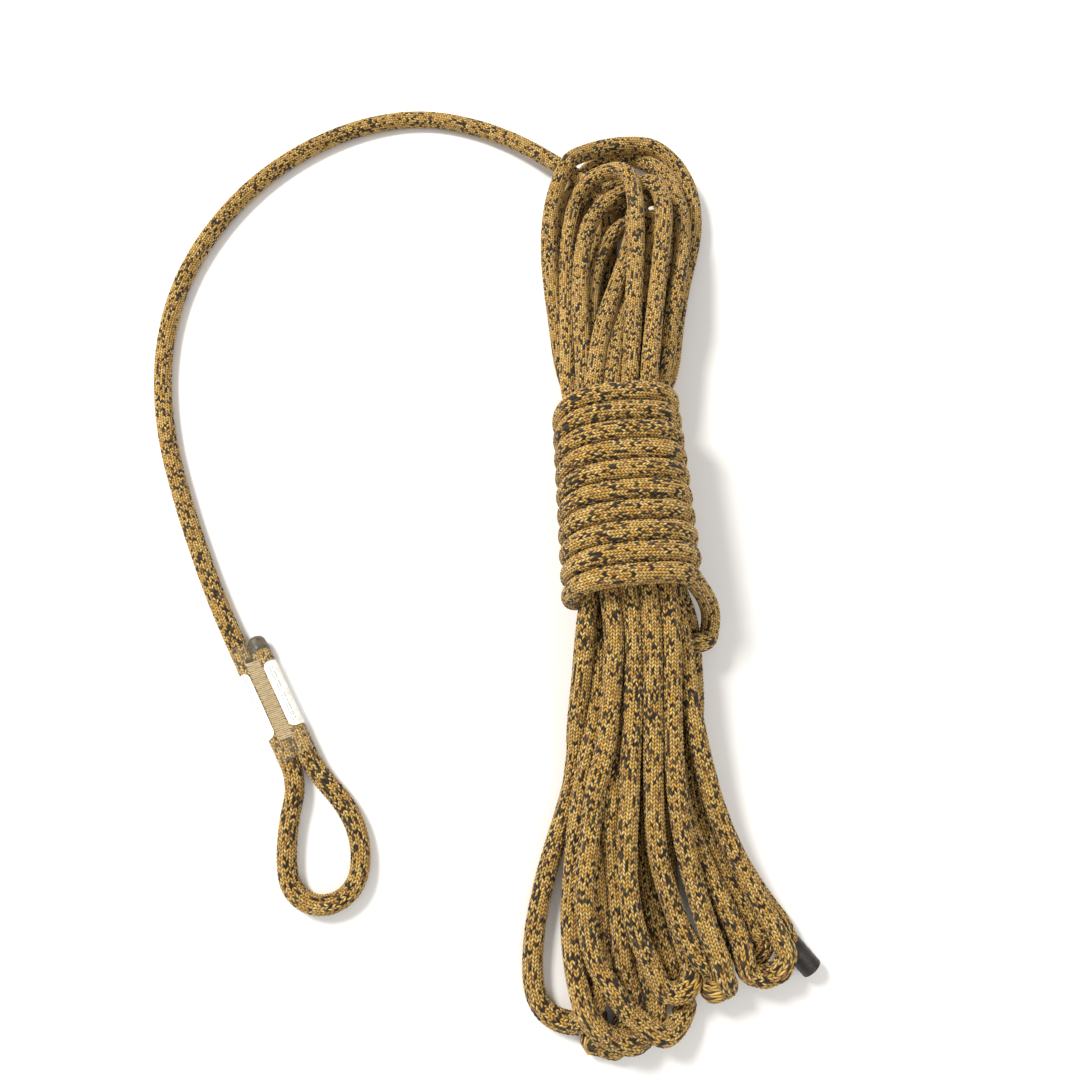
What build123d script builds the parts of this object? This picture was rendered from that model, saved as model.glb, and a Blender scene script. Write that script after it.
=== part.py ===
from build123d import *
import math
import os

# An 11 mm kernmantle climbing rope with one sewn eye, folded into a hank and frapped at the waist.
# Millimetres. +Z up, the rope lies on Z = 0, and the origin is under the middle of the layout.
# +Y runs along the hank towards its top bights. The sewn eye lies on the -X side.

# ---- the rope --------------------------------------------------------------------------------
ROPE_D = 11.0
ROPE_R = ROPE_D / 2
CORE_R = 3.9                  # the braided cover is 1.6 mm thick over the twisted core
REST_Z = ROPE_R               # centreline height of a strand lying on the ground

# ---- the sewn throat -------------------------------------------------------------------------
THROAT_TOP = (-121.5, -98.0)  # middle of the throat at the free strand's side
THROAT_DIR = (0.494, -0.870)  # towards the eye
THROAT_LENGTH = 75.0
LABEL_T = 0.35
FILM_T = 0.6
THROAT_Z = ROPE_R + LABEL_T + FILM_T
LABEL_START = 17.0
LABEL_LENGTH = 42.0
LABEL_GAP = 9.4               # the bare strip between the label's two wings
LABEL_CORNER = 4.0
STITCH_COUNT = 36
STITCH_PITCH = 1.27
STITCH_WIDTH = 0.95
STITCH_START = 15.0
STITCH_SPAN = 6.4
STITCH_H = 0.9
BED_Z = 4.5                   # the threads bite this far from the legs' common plane
SEAL_LENGTH = 10.0
SEAL_R = 5.3
TAIL_START = 8.0              # the tail leg ends this far inside the throat, behind its seal

# ---- routes of the strands that lie outside the hank, as corner points of their centrelines ---
FREE_STRAND = [
    (95.0, 228.0, 17.0),
    (58.0, 264.0, 12.0),
    (14.0, 293.0, 7.0),
    (-36.0, 306.0, REST_Z),
    (-88.0, 294.5, REST_Z),
    (-137.0, 263.0, REST_Z),
    (-174.0, 218.0, REST_Z),
    (-198.0, 162.0, REST_Z),
    (-203.0, 103.0, REST_Z),
    (-193.0, 45.5, REST_Z),
    (-173.5, -6.0, REST_Z),
    (-153.5, -50.0, REST_Z),
]
EYE_BEND = [
    (-87.0, -200.0, REST_Z),
    (-85.5, -226.5, REST_Z),
    (-77.5, -238.0, REST_Z),
    (-64.5, -242.5, REST_Z),
    (-51.5, -238.0, REST_Z),
    (-44.0, -226.5, REST_Z),
    (-45.5, -206.5, REST_Z),
    (-55.5, -188.5, REST_Z),
]
STRAY_BIGHT = [
    (86.0, -150.0, 25.0),
    (77.5, -171.0, 18.0),
    (68.0, -197.0, 10.0),
    (58.5, -226.0, 6.0),
    (52.0, -254.0, REST_Z),
    (51.0, -281.0, REST_Z),
    (58.0, -294.0, REST_Z),
    (72.0, -298.5, REST_Z),
    (86.0, -296.5, REST_Z),
]
SIDE_BIGHT = [
    (136.0, -108.0, 27.0),
    (149.0, -103.0, 25.0),
    (159.5, -91.5, 22.0),
    (159.5, -77.0, 25.0),
    (152.0, -69.5, 32.0),
    (144.5, -66.5, 42.0),
]

# ---- the hank: outer sections as (y, middle x, width, height, height of the underside) --------
WAIST_TOP = (50.0, 102.0, 58.0, 44.0, 11.0)
WAIST_END = (-69.0, 109.0, 62.0, 44.0, 11.0)
UPPER_SECTIONS = [
    WAIST_TOP,
    (86.0, 102.5, 76.0, 42.0, 9.0),
    (125.0, 106.0, 92.0, 44.0, 4.0),
    (185.0, 110.5, 105.0, 46.0, 0.6),
    (225.0, 114.0, 92.0, 38.0, 0.3),
    (251.0, 116.0, 56.0, 27.0, 1.2),
    (259.0, 117.0, 26.0, 14.0, 5.0),
]
LOWER_SECTIONS = [
    WAIST_END,
    (-95.0, 110.5, 63.0, 42.0, 8.0),
    (-128.0, 112.0, 69.0, 38.0, 5.0),
    (-178.0, 115.5, 87.0, 34.0, 2.0),
    (-212.0, 123.0, 107.0, 30.0, 0.6),
    (-241.0, 129.0, 119.0, 26.0, 0.3),
    (-267.0, 126.0, 114.0, 24.0, 0.2),
    (-290.0, 115.0, 88.0, 22.0, 0.3),
    (-308.0, 105.0, 46.0, 16.0, 2.0),
    (-312.5, 103.0, 26.0, 8.0, 4.5),
]
CORNER_SHARE = 0.42           # a section's corner radius as a share of its height

# ---- the cut end -----------------------------------------------------------------------------
CUT_END = (201.3, -272.3)     # middle of the cut face
CUT_DIR = (0.65, -0.76)       # the way the cut end points
CUT_STUB = 32.0               # from the hank to the cut face
END_SLEEVE_R = 6.1
END_SLEEVE_LENGTH = 16.0
END_Z = END_SLEEVE_R


def path_of(name, points):
    """Straight runs joined by arcs, each as large as its two runs allow."""
    radii = []
    for before, here, after in zip(points, points[1:], points[2:]):
        into = Vector(*here) - Vector(*before)
        out = Vector(*after) - Vector(*here)
        turn = math.radians(into.get_angle(out))
        radii.append(0.45 * min(into.length, out.length) / math.tan(turn / 2))
    path = FilletPolyline(*points, radius=radii)
    print(name, "length", round(path.length, 1), "radii", [round(r, 1) for r in radii])
    return path


def tube(path, outer, inner=0.0):
    """A round tube along the path, hollow when it has an inner radius."""
    section = Circle(outer)
    if inner:
        section -= Circle(inner)
    return sweep(Plane(origin=path @ 0, z_dir=path % 0) * section, path=path)


def throat_place(z=0.0):
    """The throat's own frame: X across the two legs, Y up, Z along them towards the eye."""
    x, y = THROAT_TOP
    dx, dy = THROAT_DIR
    origin = (x + dx * z, y + dy * z, THROAT_Z)
    return Plane(origin=origin, x_dir=(-dy, dx, 0), z_dir=(dx, dy, 0)).location


def throat_point(across, along):
    """A point in the plane of the two legs, as a plain tuple."""
    spot = throat_place(along) * Location((across, 0, 0))
    return tuple(spot.position)


def rod(radius, start, end, across=0.0):
    """A cylinder along the throat's own Z, from start to end."""
    return Pos(across, 0, (start + end) / 2) * Cylinder(radius, end - start)


def stadium(offset, start, end):
    """The hull of the two legs, grown by offset, from start to end along the throat."""
    width = 2 * ROPE_D + 2 * offset
    height = ROPE_D + 2 * offset
    return Pos(0, 0, start) * extrude(SlotOverall(width, height), amount=end - start)


def stitch_beds():
    """The two flat beds that the thread pulls into the legs, above and below."""
    length = STITCH_COUNT * STITCH_PITCH
    middle = STITCH_START + length / 2
    high = ROPE_R - BED_Z + 0.5
    bed = Box(STITCH_SPAN, high, length)
    return [Pos(0, side * (BED_Z + high / 2), middle) * bed for side in (1, -1)]


def legs():
    """The two covers and the two cores that lie side by side in the throat."""
    beds = stitch_beds()
    covers = []
    cores = []
    for across, start in ((-ROPE_R, 0.0), (ROPE_R, TAIL_START)):
        whole = rod(ROPE_R, start, THROAT_LENGTH, across)
        core = rod(CORE_R, start, THROAT_LENGTH, across)
        covers.append(whole - core - beds[0] - beds[1])
        cores.append(core - beds[0] - beds[1])
    return covers, cores


def stitching():
    """Rows of thread bars across the groove between the legs, on both faces."""
    bar = Box(STITCH_SPAN, STITCH_H, STITCH_WIDTH)
    top_edges = bar.edges().filter_by(Axis.X).group_by(Axis.Y)[-1]
    bar = fillet(top_edges, 0.3)
    bars = []
    for turn in (0, 180):
        for k in range(STITCH_COUNT):
            z = STITCH_START + (k + 0.5) * STITCH_PITCH
            bars.append(Rot(0, 0, turn) * Pos(0, BED_Z + STITCH_H / 2, z) * bar)
    return Compound(children=bars)


def label():
    """A thin label round the back of the legs, with rounded wings beside a bare strip."""
    end = LABEL_START + LABEL_LENGTH
    wrap = stadium(LABEL_T, LABEL_START, end) - stadium(0.0, LABEL_START - 1, end + 1)
    gap = Pos(0, ROPE_R, LABEL_START + LABEL_LENGTH / 2) * Box(LABEL_GAP, 4, LABEL_LENGTH + 2)
    wrap -= gap
    c = LABEL_CORNER
    for side in (-1, 1):
        for z, inward in ((LABEL_START, 1), (end, -1)):
            x = side * (LABEL_GAP / 2 + c / 2)
            block = Pos(x, ROPE_R, z + inward * c / 2) * Box(c, 4, c)
            x = side * (LABEL_GAP / 2 + c)
            round_off = Pos(x, ROPE_R, z + inward * c) * Rot(90, 0, 0) * Cylinder(c, 6)
            wrap -= block - round_off
    return wrap


def film():
    """The clear shrink film over the legs, the label and the thread."""
    bore = stadium(LABEL_T, -1, THROAT_LENGTH + 1)
    return stadium(LABEL_T + FILM_T, 0, THROAT_LENGTH) - bore


def tail_seal():
    """The dipped seal on the tail leg's end, with a domed tip."""
    body = rod(SEAL_R, TAIL_START - SEAL_LENGTH, TAIL_START, ROPE_R)
    tip = body.edges().filter_by(GeomType.CIRCLE).sort_by(Axis.Z)[0]
    return fillet(tip, 4.4)


def section(y, x, width, height, under):
    """One outer section of the hank, as a face across its length."""
    place = Plane(origin=(x, y, under + height / 2), x_dir=(1, 0, 0), z_dir=(0, -1, 0))
    return place * RectangleRounded(width, height, CORNER_SHARE * height)


def hank_body(sections):
    """A closed solid of the hank's outer shape, through the sections."""
    return loft([section(*s) for s in sections])


def frapping(waist):
    """The ring that the frapping turns fill round the waist."""
    ring = []
    for y, x, width, height, under in (WAIST_TOP, WAIST_END):
        ring.append((y, x, width + 2 * ROPE_D, height + 2 * ROPE_D, under - ROPE_D))
    return hank_body(ring) - waist


def cut_rod(radius, length):
    """A cylinder that ends at the cut face."""
    x, y = CUT_END
    dx, dy = CUT_DIR
    place = Plane(origin=(x, y, END_Z), z_dir=(dx, dy, 0)).location
    return place * Pos(0, 0, -length / 2) * Cylinder(radius, length)


def save(name, shape):
    shape.label = name
    export_step(shape, "parts/" + name + ".step")


def main():
    os.makedirs("parts", exist_ok=True)

    # The hank.
    waist = hank_body([WAIST_TOP, WAIST_END])
    upper = hank_body(UPPER_SECTIONS)
    lower = hank_body(LOWER_SECTIONS)
    turns = frapping(waist)
    save("hank_waist", waist)
    save("hank_upper", upper)
    save("hank_lower", lower)
    save("frapping_turns", turns)

    # The free strand, from inside the top bights to the throat.
    lead_in = throat_point(-ROPE_R, -26.0)
    leg_top = throat_point(-ROPE_R, 0.0)
    route = path_of("free_strand", FREE_STRAND + [lead_in, leg_top])
    save("free_strand_cover", tube(route, ROPE_R, CORE_R) - upper)
    save("free_strand_core", tube(route, CORE_R) - upper)

    # The eye, from the standing leg round to the tail leg.
    start = throat_point(-ROPE_R, THROAT_LENGTH)
    first = throat_point(-ROPE_R, THROAT_LENGTH + 12.0)
    last = throat_point(ROPE_R, THROAT_LENGTH + 12.0)
    end = throat_point(ROPE_R, THROAT_LENGTH)
    route = path_of("eye", [start, first] + EYE_BEND + [last, end])
    save("eye_cover", tube(route, ROPE_R, CORE_R))
    save("eye_core", tube(route, CORE_R))

    # The sewn throat.
    covers, cores = legs()
    place = throat_place()
    save("standing_leg_cover", place * covers[0])
    save("standing_leg_core", place * cores[0])
    save("tail_leg_cover", place * covers[1])
    save("tail_leg_core", place * cores[1])
    save("tail_end_seal", place * tail_seal())
    save("throat_stitching", place * stitching())
    save("throat_label", place * label())
    save("throat_film", place * film())

    # The two bights that stand out of the hank.
    route = path_of("stray_bight", STRAY_BIGHT)
    save("stray_bight", tube(route, ROPE_R) - lower)
    route = path_of("side_bight", SIDE_BIGHT)
    save("side_bight", tube(route, ROPE_R) - lower - waist - turns)

    # The cut end: core, cover and shrink sleeve, flush at the cut face.
    core = cut_rod(CORE_R, CUT_STUB)
    cover = cut_rod(ROPE_R, CUT_STUB) - core
    sleeve = cut_rod(END_SLEEVE_R, END_SLEEVE_LENGTH) - cut_rod(ROPE_R, END_SLEEVE_LENGTH)
    save("cut_end_core", core - lower)
    save("cut_end_cover", cover - lower)
    save("cut_end_sleeve", sleeve - lower)


main()
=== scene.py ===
"""A hanked climbing rope with a sewn eye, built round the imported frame.

The whole rope is one route. It starts at the cut end, folds nine times over the top of the hank and
eight times under the bottom, leaves by the side bight, winds nearly ten turns round the waist, tucks
up through the top bights and lies free as far as the sewn eye.
"""
import math

import bpy
import numpy as np
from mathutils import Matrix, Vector


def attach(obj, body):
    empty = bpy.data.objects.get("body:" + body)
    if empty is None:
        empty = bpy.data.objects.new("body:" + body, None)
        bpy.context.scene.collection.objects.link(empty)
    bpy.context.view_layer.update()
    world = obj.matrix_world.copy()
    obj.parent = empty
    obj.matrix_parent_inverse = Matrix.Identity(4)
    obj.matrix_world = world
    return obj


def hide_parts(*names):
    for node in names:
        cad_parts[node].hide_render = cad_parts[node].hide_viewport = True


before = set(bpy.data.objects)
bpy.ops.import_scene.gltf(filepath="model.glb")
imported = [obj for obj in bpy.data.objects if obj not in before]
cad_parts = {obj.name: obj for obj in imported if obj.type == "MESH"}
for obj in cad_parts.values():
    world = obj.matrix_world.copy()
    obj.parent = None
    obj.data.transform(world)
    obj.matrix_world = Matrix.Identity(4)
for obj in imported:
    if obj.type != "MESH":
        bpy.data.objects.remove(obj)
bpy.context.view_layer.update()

MM = 0.001                     # every route below is in millimetres, in the row frame
ROPE_R = 5.5
REST_Z = 5.5

# ---- the routes that part.py has too, but for the stray bight's two ends ---------------------
THROAT_TOP = (-121.5, -98.0)
THROAT_DIR = (0.494, -0.870)
THROAT_LENGTH = 75.0
THROAT_Z = 6.45
TAIL_START = 8.0               # the tail leg ends this far inside the throat, behind its seal


def throat_point(across, along, up=0.0):
    """A point in the throat's own frame: across the two legs, along them, above their plane."""
    x, y = THROAT_TOP
    dx, dy = THROAT_DIR
    return (x + along * dx - across * dy, y + along * dy + across * dx, THROAT_Z + up)


FREE_STRAND = [
    (95.0, 228.0, 17.0),
    (58.0, 264.0, 12.0),
    (14.0, 293.0, 7.0),
    (-36.0, 306.0, REST_Z),
    (-88.0, 294.5, REST_Z),
    (-137.0, 263.0, REST_Z),
    (-174.0, 218.0, REST_Z),
    (-198.0, 162.0, REST_Z),
    (-203.0, 103.0, REST_Z),
    (-193.0, 45.5, REST_Z),
    (-173.5, -6.0, REST_Z),
    (-153.5, -50.0, REST_Z),
    throat_point(-ROPE_R, -26.0),
    throat_point(-ROPE_R, 0.0),
]
EYE = [
    throat_point(-ROPE_R, THROAT_LENGTH),
    throat_point(-ROPE_R, THROAT_LENGTH + 12.0),
    (-87.0, -200.0, REST_Z),
    (-85.5, -226.5, REST_Z),
    (-77.5, -238.0, REST_Z),
    (-64.5, -242.5, REST_Z),
    (-51.5, -238.0, REST_Z),
    (-44.0, -226.5, REST_Z),
    (-45.5, -206.5, REST_Z),
    (-55.5, -188.5, REST_Z),
    throat_point(ROPE_R, THROAT_LENGTH + 12.0),
    throat_point(ROPE_R, THROAT_LENGTH),
]
STRAY_BIGHT = [
    (77.5, -171.0, 18.0),
    (68.0, -197.0, 10.0),
    (58.5, -226.0, 6.0),
    (52.0, -254.0, REST_Z),
    (51.0, -281.0, REST_Z),
    (58.0, -294.0, REST_Z),
    (72.0, -298.5, REST_Z),
    (84.0, -297.5, REST_Z),
]
SIDE_BIGHT = [
    (136.0, -108.0, 27.0),
    (149.0, -103.0, 25.0),
    (159.5, -91.5, 22.0),
    (159.5, -77.0, 25.0),
    (152.0, -69.5, 32.0),
    (144.5, -66.5, 42.0),
]
CUT_END = (201.3, -272.3, 6.1)
CUT_DIR = (0.65, -0.76, 0.0)
SLEEVE_LENGTH = 16.0
SLEEVE_R = 6.1

# ---- the waist: where each strand passes through the frapping turns --------------------------
WAIST_TOP_Y, WAIST_TOP_X = 50.0, 102.0
WAIST_END_Y, WAIST_END_X = -69.0, 109.0
WAIST_Z = 33.0
WAIST_STOPS = (-62.0, -35.0, -8.0, 18.0, 42.0)
ROWS = (18.7, 28.2, 37.8, 47.3)  # the heights of the four layers of strands
SLOTS = {
    "L9": (-16.5, 0), "L1": (-5.5, 0), "R2": (5.5, 0), "R9": (16.5, 0),
    "L8": (-22.0, 1), "L5": (-11.0, 1), "L2": (0.0, 1), "R3": (11.0, 1), "R1": (22.0, 1),
    "L4": (-22.0, 2), "L3": (-11.0, 2), "R6": (0.0, 2), "R5": (11.0, 2), "R4": (22.0, 2),
    "L7": (-16.5, 3), "L6": (-5.5, 3), "R7": (5.5, 3), "R8": (16.5, 3),
}


def waist_x(y):
    """The middle of the waist at that height along the hank."""
    share = (y - WAIST_END_Y) / (WAIST_TOP_Y - WAIST_END_Y)
    return WAIST_END_X + share * (WAIST_TOP_X - WAIST_END_X)


def waist_run(strand, upward):
    """The straight run of one strand through the waist."""
    dx, row = SLOTS[strand]
    run = [(waist_x(y) + dx, y, ROWS[row]) for y in WAIST_STOPS]
    return run if upward else run[::-1]


# ---- the nine top bights, from the left leg over the apex to the right leg -------------------
TOP = {
    1: [(95, 71, 18), (87, 109, 10), (83, 144, 5.5), (84, 177, 5.5), (87, 207, 5.5),
        (95, 233, 5.5), (107, 245, 5.5), (122, 249, 5.5), (137, 243, 5.5), (147, 225, 5.5),
        (148, 194, 5.5), (145, 144, 5.5), (140, 109, 10), (134, 67, 24)],
    2: [(101, 66, 26), (97, 97, 18), (94, 124, 12), (93, 150, 9), (94, 175, 8), (98, 196, 8),
        (107, 219, 8), (119, 227, 8), (131, 221, 8), (136, 198, 8), (133, 158, 9),
        (126, 116, 12), (116, 71, 18)],
    3: [(95, 61, 35), (92, 91, 27), (90, 121, 21), (92, 150, 19), (97, 171, 20), (103, 183, 23),
        (111, 192, 25), (120, 199, 25), (129, 200, 25), (136, 189, 24), (138, 167, 24),
        (135, 137, 26), (130, 100, 31), (124, 60, 37)],
    4: [(100, 55, 47), (100, 76, 46), (103, 92, 44), (107, 109, 41), (112, 128, 37),
        (118, 154, 33), (125, 182, 32), (131, 202, 33), (136, 204, 34), (137, 190, 33),
        (132, 165, 32), (127, 133, 32), (121, 98, 34), (113, 60, 37)],
    5: [(90, 55, 47), (91, 74, 46), (93, 87, 45), (97, 103, 43), (102, 118, 41), (107, 133, 38),
        (113, 150, 35), (118, 168, 33), (124, 192, 33), (129, 212, 34), (135, 223, 35),
        (141, 219, 34), (144, 201, 32), (142, 173, 31), (138, 142, 30), (133, 105, 29),
        (127, 65, 28)],
    6: [(94, 66, 27), (84, 95, 20), (79, 131, 12), (75, 168, 6), (72, 198, 5.5), (74, 228, 6),
        (82, 248, 7), (94, 261, 8), (109, 269, 9), (124, 269, 12), (138, 258, 17),
        (148, 239, 23), (153, 216, 28), (153, 192, 30), (150, 169, 31), (146, 145, 32),
        (141, 117, 33), (136, 90, 35), (132, 60, 37)],
    7: [(84, 60, 38), (84, 85, 38), (83, 103, 37), (82, 123, 35), (82, 144, 33), (84, 165, 32),
        (86, 182, 32), (90, 195, 33), (99, 205, 34), (109, 212, 34), (119, 216, 35),
        (129, 220, 37), (136, 218, 39), (139, 202, 41), (139, 182, 42), (136, 160, 43),
        (133, 138, 44), (130, 116, 45), (126, 90, 46), (122, 55, 47)],
    8: [(73, 60, 28), (73, 78, 30), (75, 100, 31), (74, 131, 24), (74, 161, 14), (74, 185, 11),
        (76, 205, 11), (80, 218, 15), (87, 225, 22), (95, 230, 30), (105, 231, 37),
        (115, 226, 43), (120, 211, 46), (120, 189, 46), (119, 168, 46), (118, 144, 46),
        (115, 115, 46.5), (113, 86, 47), (111, 55, 47)],
    9: [(78, 63, 18), (69, 82, 18), (68, 111, 19), (66, 130, 20), (63, 150, 20), (61, 170, 20),
        (61, 189, 20), (62, 207, 20), (65, 225, 21), (71, 241, 22), (81, 254, 23), (96, 263, 23),
        (114, 267, 23), (132, 268, 22), (147, 262, 20), (158, 250, 18), (165, 233, 17),
        (167, 213, 16), (166, 192, 15), (160, 171, 15), (154, 152, 15), (149, 132, 15),
        (144, 110, 15), (140, 87, 16), (134, 63, 18)],
}

# ---- the eight bottom bights, named by the strands that they join ----------------------------
BOTTOM = {
    ("R1", "R2"): [(144, -73, 20), (149, -88, 16), (148, -105, 14), (144, -131, 11),
                   (142, -159, 8), (143, -187, 6), (149, -205, 5.5), (155, -218, 5.5),
                   (162, -231, 5.5), (168, -241, 5.5), (175, -251, 5.5), (182, -260, 5.5),
                   (184, -269, 5.5), (175, -275, 5.5), (165, -267, 5.5), (157, -256, 5.5),
                   (149, -243, 5.5), (140, -227, 5.5), (134, -205, 5.5), (129, -173, 6),
                   (125, -140, 10), (123, -97, 17)],
    ("L2", "L3"): [(114, -98, 22), (108, -131, 14), (99, -165, 8), (92, -197, 5.5),
                   (88, -229, 5.5), (83, -259, 5.5), (78, -280, 5.5), (76, -294, 5.5),
                   (76, -307, 5.5), (80, -315, 5.5), (88, -316, 5.5), (95, -309, 5.5),
                   (101, -300, 5.5), (107, -291, 7), (104, -281, 9), (99, -272, 11),
                   (94, -262, 12), (93, -247, 13), (92, -230, 15), (93, -212, 17),
                   (95, -186, 20), (97, -160, 24), (99, -133, 28), (102, -100, 33)],
    ("R3", "R4"): [(123, -98, 26), (125, -135, 22), (128, -165, 19), (132, -186, 17),
                   (138, -205, 16), (143, -216, 16), (148, -227, 16), (152, -237, 16),
                   (157, -247, 15), (162, -257, 14), (165, -267, 12), (167, -276, 11),
                   (171, -280, 11), (179, -280, 13), (185.5, -275, 16), (186.5, -266, 18),
                   (182.5, -256, 18), (179, -247, 18), (173, -237, 18), (168, -227, 19),
                   (163, -217, 20), (158, -207, 21), (154, -196, 23), (150, -186, 25),
                   (147, -170, 27), (143, -155, 29), (140, -136, 32), (138, -106, 35),
                   (135, -86, 37)],
    ("R5", "L6"): [(122, -100, 33), (121, -135, 26), (121, -165, 20), (121, -192, 15),
                   (123, -218, 11), (125, -238, 9), (129, -253, 9), (134, -265, 10),
                   (139, -272, 12), (141, -280, 15), (134, -286, 18), (126, -285, 20),
                   (120, -279, 21), (115, -271, 22), (110, -261, 24), (105, -252, 25),
                   (102, -241, 27), (101, -230, 28), (101, -216, 30), (102, -196, 32),
                   (103, -176, 34), (106, -155, 36), (108, -136, 38.5), (110, -107, 42),
                   (113, -86, 45)],
    ("R6", "L7"): [(116, -100, 33), (114, -135, 26), (114, -165, 20), (115, -192, 14),
                   (116, -218, 9), (117, -239, 7), (121, -256, 5.5), (126, -271, 5.5),
                   (133, -282, 7), (136, -291, 10), (133, -299, 13), (124, -303, 15),
                   (114, -301, 17), (106, -295, 19), (98, -288, 20), (91, -280, 21),
                   (85, -272, 22), (81, -262, 23), (80, -250, 24), (79, -236, 25),
                   (80, -221, 27), (82, -206, 29), (84, -191, 31), (88, -174, 33),
                   (91, -155, 36), (94, -136, 38.5), (98, -107, 42), (99, -86, 45)],
    ("R7", "R8"): [(119, -89, 39), (120, -112, 37), (119, -136, 35), (118, -157, 34),
                   (117, -178, 32), (117, -193, 30), (117, -209, 28), (120, -222, 26),
                   (124, -235, 24), (128, -246, 22), (133, -257, 19), (139, -267, 15),
                   (141, -277, 12), (142, -287, 11), (146, -290, 13), (152, -286, 17),
                   (152, -277, 20), (148, -265, 22), (145, -253, 24), (141, -241, 25),
                   (138, -230, 26), (134, -216, 28), (132, -203, 30), (130, -188, 32),
                   (129, -170, 34), (128, -155, 36), (128, -136, 38.5), (127, -107, 42),
                   (126, -86, 45)],
    ("L8", "L9"): [(89, -88, 35), (88, -111, 33), (86, -136, 30), (83, -157, 27), (81, -178, 24),
                   (78, -199, 22), (75, -219, 19), (72, -235, 17), (71, -247, 16),
                   (71, -259, 16), (72, -268, 16), (74, -277, 16.5), (76, -286, 17),
                   (81, -294, 17), (87, -302, 16), (95, -307, 14), (108, -307, 11),
                   (119, -301, 8), (121, -291, 5.5), (115, -278, 5.5), (106, -261, 5.5),
                   (99, -239, 5.5), (96, -213, 6), (93, -181, 8), (91, -138, 13), (91, -103, 18)],
    ("L4", "L5"): [(82, -86, 37), (81, -111, 35), (81, -136, 32), (80, -155, 30)]
                  + STRAY_BIGHT
                  + [(88, -291, 5.5), (92, -278, 5.5), (89, -259, 5.5), (86, -229, 6), (88, -187, 11),
                     (93, -143, 20), (97, -98, 26)],
}
CUT_RUN = [(136, -97, 16), (140, -134, 9), (144, -168, 5.5), (151, -192, 5.5), (159, -213, 5.5),
           (167, -231, 5.5), (176, -243, 5.7), (184.4, -252.5, 6.1)]

TURNS = 10
TURN_PITCH = 12.3
TURN_POINTS = 16
FIRST_RIGHT_Y = -66.5          # where the lowest turn passes the right side
TURN_DROP = 8.0                # how far a turn falls from right to left, over the top
TURN_CROWN = 3.0


def frapping_route():
    """The turns round the waist, sixteen points each, and the tuck up under the top bights."""
    points = []
    for n in range(2, TURNS * TURN_POINTS - 4):
        turn, step = divmod(n, TURN_POINTS)
        a = 2 * math.pi * step / TURN_POINTS
        y = FIRST_RIGHT_Y + TURN_PITCH * turn
        if a < math.pi:
            y += TURN_CROWN * math.sin(a) - TURN_DROP * (1 - math.cos(a)) / 2
        else:
            y += (TURN_PITCH + TURN_DROP) * (1 + math.cos(a)) / 2 - TURN_DROP
        half_x = 34.5 + 2.0 * (WAIST_TOP_Y - y) / (WAIST_TOP_Y - WAIST_END_Y)
        c, s = math.cos(a), math.sin(a)
        x = waist_x(y) + half_x * math.copysign(abs(c) ** 0.72, c)
        z = WAIST_Z + 27.5 * math.copysign(abs(s) ** 0.72, s)
        points.append((x, y, z))
    points += [(80, 39, 6.5), (88, 48, REST_Z), (92, 62, REST_Z), (93, 90, REST_Z),
               (92, 125, REST_Z), (93, 160, 6), (99, 190, 10), (103, 210, 15)]
    return points


def nurbs_line(points, finest=True):
    """Points along the NURBS spline through these control points, in millimetres."""
    data = bpy.data.curves.new("line", "CURVE")
    data.dimensions = "3D"
    data.resolution_u = 16 if finest else 6
    spline = data.splines.new("NURBS")
    spline.points.add(len(points) - 1)
    for spot, p in zip(spline.points, points):
        spot.co = (p[0] * MM, p[1] * MM, p[2] * MM, 1.0)
    spline.order_u = 3
    spline.use_endpoint_u = True
    holder = bpy.data.objects.new("line", data)
    mesh = bpy.data.meshes.new_from_object(holder)
    line = np.empty(3 * len(mesh.vertices))
    mesh.vertices.foreach_get("co", line)
    bpy.data.objects.remove(holder)
    bpy.data.curves.remove(data)
    bpy.data.meshes.remove(mesh)
    return line.reshape(-1, 3) / MM


def lengths(line):
    """The length along the line at each of its points."""
    steps = np.linalg.norm(np.diff(line, axis=0), axis=1)
    return np.concatenate(([0.0], np.cumsum(steps)))


def at_lengths(line, along, wanted):
    """Where the line is at the wanted lengths."""
    return np.stack([np.interp(wanted, along, line[:, k]) for k in range(3)], axis=1)


# ---- the hank, relaxed so that its strands lie beside and on each other ----------------------
LOOPS = [("L1", 1, "R1"), ("R2", 2, "L2"), ("L3", 3, "R5"), ("L6", 4, "R6"), ("L7", 5, "R3"),
         ("R4", 6, "L5"), ("L4", 7, "R8"), ("R7", 8, "L8"), ("L9", 9, "R9")]
SPACING = 5.5                  # from one relaxed spot to the next along the rope
GAP = 10.9                     # how near two strands' centrelines may lie
ROUNDS = 320
LATE = 0.7                     # the share of the rounds after which the pull and the sinking ease
LOW_PULL = 0.04                # how hard pieces 1 to 3, the lowest, keep to their routes
HIGH_PULL = 0.06               # and pieces 4 to 17
END_PULL = 0.02                # and the rest of the rope
LATE_PULL = 0.3                # the share of the pull that is left in the late rounds
SINK = 0.10                    # how far a spot sinks in each round
LATE_SINK = 0.03
BEND = 0.22                    # how far a spot moves towards the middle of its two neighbours
MAX_BOW = 12.0                 # how far a spot may lie from the chord of the spots four away
FIXED_BIGHT = (STRAY_BIGHT[1], STRAY_BIGHT[-2])


def bottom_bight(leave, enter):
    """The bight's points, in the order that the rope takes them."""
    if (leave, enter) in BOTTOM:
        return BOTTOM[(leave, enter)]
    return BOTTOM[(enter, leave)][::-1]


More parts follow.
